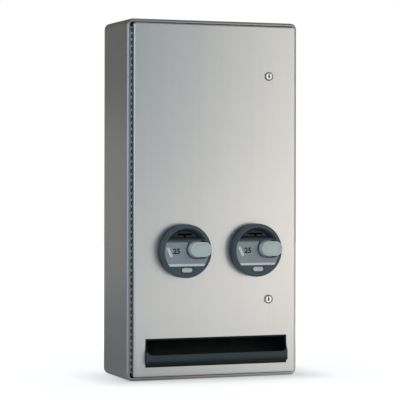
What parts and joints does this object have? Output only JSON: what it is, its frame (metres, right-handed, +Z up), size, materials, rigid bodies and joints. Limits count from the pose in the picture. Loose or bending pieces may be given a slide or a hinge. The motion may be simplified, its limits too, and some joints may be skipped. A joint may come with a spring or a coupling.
{
  "type": "coin-operated sanitary napkin vending machine",
  "caption": "Wall-mounted steel dispenser cabinet with a hinged locking door, coin dials with push knobs, and a wide dispensing tray near the bottom.",
  "frame": {"origin": "centre of the four wall-bolt holes, on the cabinet's back face", "axes": "+X to the viewer's right, +Y into the wall, +Z up; the door faces -Y"},
  "size_m": [0.366, 0.1995, 0.72],
  "materials": {
    "satin_steel": "satin stainless sheet with a fine upright grain",
    "satin_steel_side": "the same satin sheet on the cabinet's walls",
    "zinc": "zinc-plated sheet steel",
    "hinge_steel": "plain rolled steel",
    "spring_steel": "bright spring wire",
    "lock_chrome": "polished plating",
    "dial_plastic": "dark slate moulding with a fine grain",
    "tray_plastic": "dark moulding, slightly glossy at the lip",
    "knob_plastic": "pale grey moulding",
    "label_film": "printed grey film",
    "case_plastic": "dark moulding",
    "screw_steel": "zinc-plated screws and nuts",
    "weight_iron": "dark cast iron",
    "chute_black": "dull dark paint"
  },
  "bodies": {
    "cabinet": {"cabinet_top": "satin_steel_side", "cabinet_bottom": "satin_steel_side", "cabinet_side_left": "satin_steel_side", "cabinet_side_right": "satin_steel_side", "back_panel": "satin_steel_side", "hinge_leaf_cabinet": "hinge_steel", "hinge_pin": "hinge_steel", "strike_upper": "zinc", "strike_lower": "zinc", "mounting_rail_upper": "zinc", "mounting_rail_lower": "zinc", "cabinet_screws": "screw_steel", "magazine_left": "zinc", "magazine_right": "zinc", "gate_pin_left": "screw_steel", "gate_pin_right": "screw_steel", "gate_spring_left": "spring_steel", "gate_spring_right": "spring_steel", "delivery_chute": "chute_black"},
    "door": {"door_panel": "satin_steel", "hinge_leaf_door": "hinge_steel", "dispensing_tray": "tray_plastic", "tray_nuts": "screw_steel", "dial_housing_left": "dial_plastic", "dial_housing_right": "dial_plastic", "face_label_left": "label_film", "face_label_right": "label_film", "mechanism_case_left": "case_plastic", "mechanism_case_right": "case_plastic", "mechanism_screws": "screw_steel", "coin_duct_left": "case_plastic", "coin_duct_right": "case_plastic", "coin_box_cradle_left": "zinc", "coin_box_cradle_right": "zinc", "lock_body_upper": "lock_chrome", "lock_body_lower": "lock_chrome", "lock_nuts": "screw_steel", "knob_spring_left": "spring_steel", "knob_spring_right": "spring_steel", "return_spring_left": "spring_steel", "return_spring_right": "spring_steel"},
    "lock_upper": {"lock_plug_upper": "lock_chrome", "lock_cam_upper": "zinc"},
    "lock_lower": {"lock_plug_lower": "lock_chrome", "lock_cam_lower": "zinc"},
    "knob_left": {"vend_knob_left": "knob_plastic"},
    "button_left": {"return_button_left": "knob_plastic"},
    "money_box_left": {"coin_box_left": "case_plastic"},
    "gate_left": {"vend_gate_left": "zinc"},
    "follower_left": {"follower_weight_left": "weight_iron"},
    "knob_right": {"vend_knob_right": "knob_plastic"},
    "button_right": {"return_button_right": "knob_plastic"},
    "money_box_right": {"coin_box_right": "case_plastic"},
    "gate_right": {"vend_gate_right": "zinc"},
    "follower_right": {"follower_weight_right": "weight_iron"}
  },
  "joints": [
    {"name": "door_swing", "type": "hinge", "parent": "cabinet", "child": "door", "pos_m": [-0.1748, -0.151, 0], "axis": [0, 0, -1], "range_deg": [0, 110]},
    {"name": "lock_upper_turn", "type": "hinge", "parent": "door", "child": "lock_upper", "pos_m": [0.116, -0.145, 0.2497], "axis": [0, -1, 0], "range_deg": [0, 90]},
    {"name": "lock_lower_turn", "type": "hinge", "parent": "door", "child": "lock_lower", "pos_m": [0.116, -0.145, -0.2028], "axis": [0, -1, 0], "range_deg": [0, 90]},
    {"name": "vend_push_left", "type": "slide", "parent": "door", "child": "knob_left", "axis": [0, 1, 0], "range_m": [0, 0.018], "stiffness_N_per_m": 400, "springref_m": -0.01, "deforming": ["knob_spring_left"]},
    {"name": "return_push_left", "type": "slide", "parent": "door", "child": "button_left", "axis": [0, 1, 0], "range_m": [0, 0.004], "stiffness_N_per_m": 300, "springref_m": -0.002, "deforming": ["return_spring_left"]},
    {"name": "coin_box_lift_left", "type": "slide", "parent": "door", "child": "money_box_left", "axis": [0, 0, 1], "range_m": [0, 0.009]},
    {"name": "gate_swing_left", "type": "hinge", "parent": "cabinet", "child": "gate_left", "pos_m": [-0.0686, -0.113, -0.128], "axis": [-1, 0, 0], "range_deg": [0, 35.5], "stiffness_Nm_per_rad": 0.3, "springref_deg": -34.38},
    {"name": "follower_slide_left", "type": "slide", "parent": "cabinet", "child": "follower_left", "axis": [0, 0, 1], "range_m": [0, 0.385]},
    {"name": "vend_push_right", "type": "slide", "parent": "door", "child": "knob_right", "axis": [0, 1, 0], "range_m": [0, 0.018], "stiffness_N_per_m": 400, "springref_m": -0.01, "deforming": ["knob_spring_right"]},
    {"name": "return_push_right", "type": "slide", "parent": "door", "child": "button_right", "axis": [0, 1, 0], "range_m": [0, 0.004], "stiffness_N_per_m": 300, "springref_m": -0.002, "deforming": ["return_spring_right"]},
    {"name": "coin_box_lift_right", "type": "slide", "parent": "door", "child": "money_box_right", "axis": [0, 0, 1], "range_m": [0, 0.009]},
    {"name": "gate_swing_right", "type": "hinge", "parent": "cabinet", "child": "gate_right", "pos_m": [0.0838, -0.113, -0.128], "axis": [-1, 0, 0], "range_deg": [0, 35.5], "stiffness_Nm_per_rad": 0.3, "springref_deg": -34.38},
    {"name": "follower_slide_right", "type": "slide", "parent": "cabinet", "child": "follower_right", "axis": [0, 0, 1], "range_m": [0, 0.385]}
  ],
  "couplings": [
    {"joint": "gate_swing_left", "follows": "vend_push_left", "rad_per_m": 34.4},
    {"joint": "gate_swing_right", "follows": "vend_push_right", "rad_per_m": 34.4}
  ]
}
